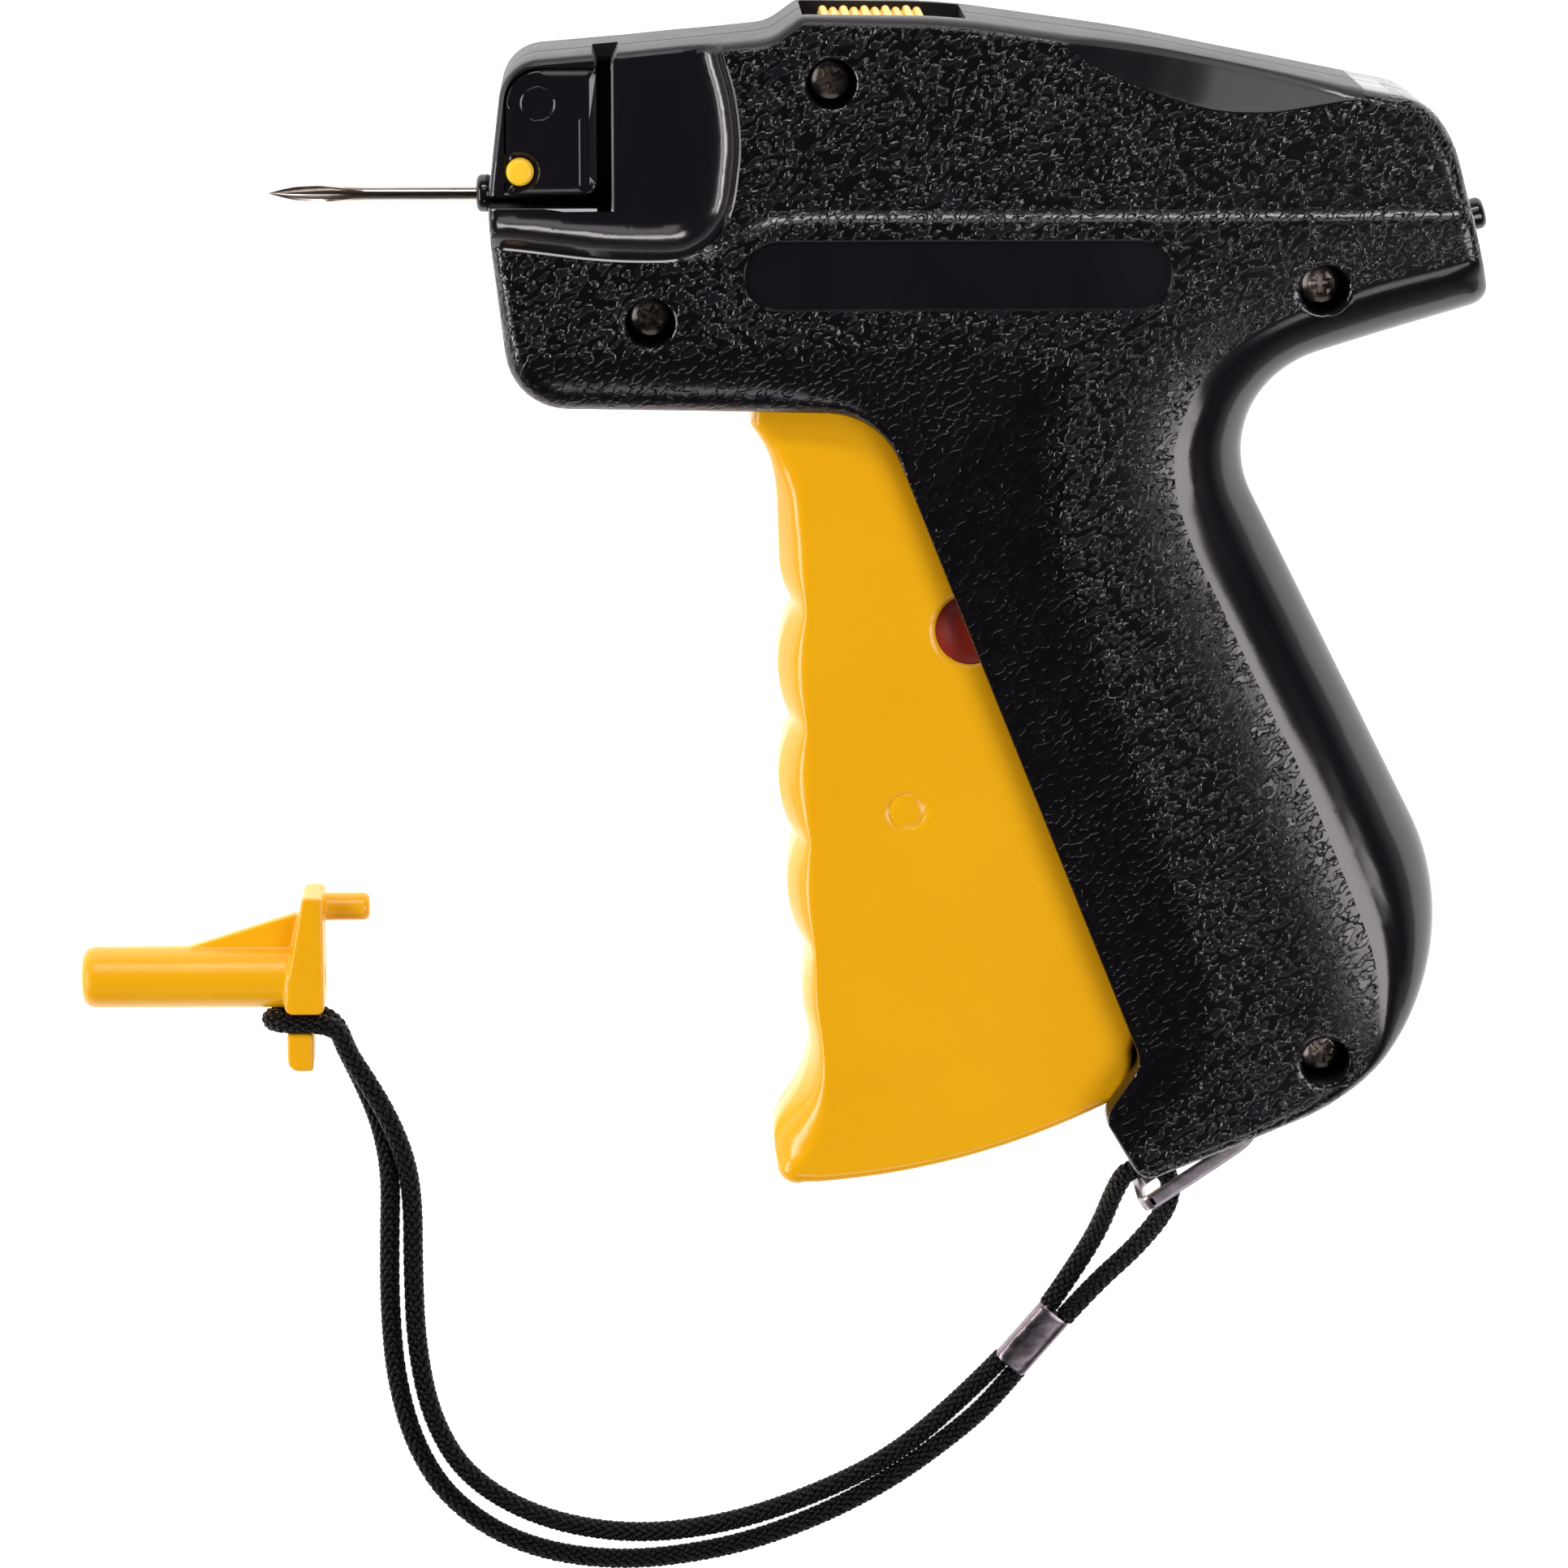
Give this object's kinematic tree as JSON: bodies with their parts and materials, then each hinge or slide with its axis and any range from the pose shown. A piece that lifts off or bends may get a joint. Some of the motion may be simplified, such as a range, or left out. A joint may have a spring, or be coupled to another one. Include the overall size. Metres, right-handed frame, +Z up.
{
  "type": "garment tag attacher",
  "caption": "Hand-held pistol-shaped tool that pushes plastic tag fasteners through a slotted needle, with a trigger, top slider, corded needle cap and wrist bail.",
  "frame": {"origin": "Middle of the tool's box, without its free cord and cap, on the floor under the right housing half.", "axes": "The tool lies on its right side. +X runs to the back of the tool and the needle points along -X, +Y is the top of the tool, +Z is up, across its width."},
  "size_m": [0.1813, 0.2116, 0.028],
  "materials": {
    "black_abs": "textured black ABS",
    "orange_abs": "satin orange ABS",
    "yellow_pom": "satin yellow POM",
    "amber_pp": "amber polypropylene",
    "white_pom": "natural POM",
    "nickel_steel": "nickel-plated steel",
    "dark_steel": "black oxide steel",
    "zinc_steel": "zinc-plated steel",
    "spring_steel": "spring steel wire",
    "black_polyester": "braided polyester"
  },
  "bodies": {
    "housing": {"left_housing": "black_abs", "right_housing": "black_abs", "needle": "nickel_steel", "needle_hub": "dark_steel", "needle_head_plate": "black_abs", "lock_button_spring": "spring_steel", "trigger_pivot_pin": "nickel_steel", "trigger_return_spring": "spring_steel", "drive_lever_pin": "nickel_steel", "feed_wheel_axle": "nickel_steel", "feed_pawl_pin": "nickel_steel", "rear_button_spring": "spring_steel", "housing_screws": "zinc_steel", "lanyard_bail": "nickel_steel", "cord_ferrule": "zinc_steel", "lanyard_cord": "black_polyester", "lanyard_eye": "black_polyester", "needle_cap": "amber_pp"},
    "trigger": {"trigger": "orange_abs"},
    "lever": {"drive_lever": "zinc_steel", "drive_pin": "white_pom", "carriage_pin": "nickel_steel"},
    "carriage": {"pusher_carriage": "white_pom", "ejector_rod": "nickel_steel"},
    "feed_wheel": {"feed_wheel": "white_pom"},
    "feed_pawl": {"feed_pawl": "white_pom"},
    "top_slider": {"top_slider": "yellow_pom"},
    "rear_button": {"rear_button": "black_abs"},
    "lock_button": {"needle_lock_button": "yellow_pom"}
  },
  "joints": [
    {"name": "trigger_pull", "type": "hinge", "parent": "housing", "child": "trigger", "pos_m": [-0.009, 0.035, 0.014], "axis": [0, 0, 1], "range_deg": [0, 17], "stiffness_Nm_per_rad": 0.6, "springref_deg": -11.46, "deforming": ["trigger_return_spring"]},
    {"name": "lever_swing", "type": "hinge", "parent": "housing", "child": "lever", "pos_m": [0.034, 0.024, 0.014], "axis": [0, 0, 1], "range_deg": [0, 60]},
    {"name": "carriage_slide", "type": "slide", "parent": "housing", "child": "carriage", "axis": [-1, 0, 0], "range_m": [0, 0.0311]},
    {"name": "feed_wheel_spin", "type": "hinge", "parent": "housing", "child": "feed_wheel", "pos_m": [-0.029, 0.0624, 0.014], "axis": [0, 0, 1], "continuous": true},
    {"name": "feed_pawl_lift", "type": "hinge", "parent": "housing", "child": "feed_pawl", "pos_m": [-0.0175, 0.069, 0.014], "axis": [0, 0, 1], "range_deg": [0, 8], "stiffness_Nm_per_rad": 0.002, "springref_deg": -5.73},
    {"name": "top_slider_slide", "type": "slide", "parent": "housing", "child": "top_slider", "axis": [1, 0, 0], "range_m": [0, 0.0042]},
    {"name": "rear_button_push", "type": "slide", "parent": "housing", "child": "rear_button", "axis": [-0.9682, -0.2503, 0], "range_m": [0, 0.0016], "stiffness_N_per_m": 400, "springref_m": -0.001, "deforming": ["rear_button_spring"]},
    {"name": "lock_button_push", "type": "slide", "parent": "housing", "child": "lock_button", "axis": [0, 0, -1], "range_m": [0, 0.0012], "stiffness_N_per_m": 300, "springref_m": -0.001, "deforming": ["lock_button_spring"]}
  ],
  "couplings": [
    {"joint": "lever_swing", "follows": "trigger_pull", "ratio": 3.529},
    {"joint": "carriage_slide", "follows": "trigger_pull", "m_per_rad": 0.10448}
  ]
}
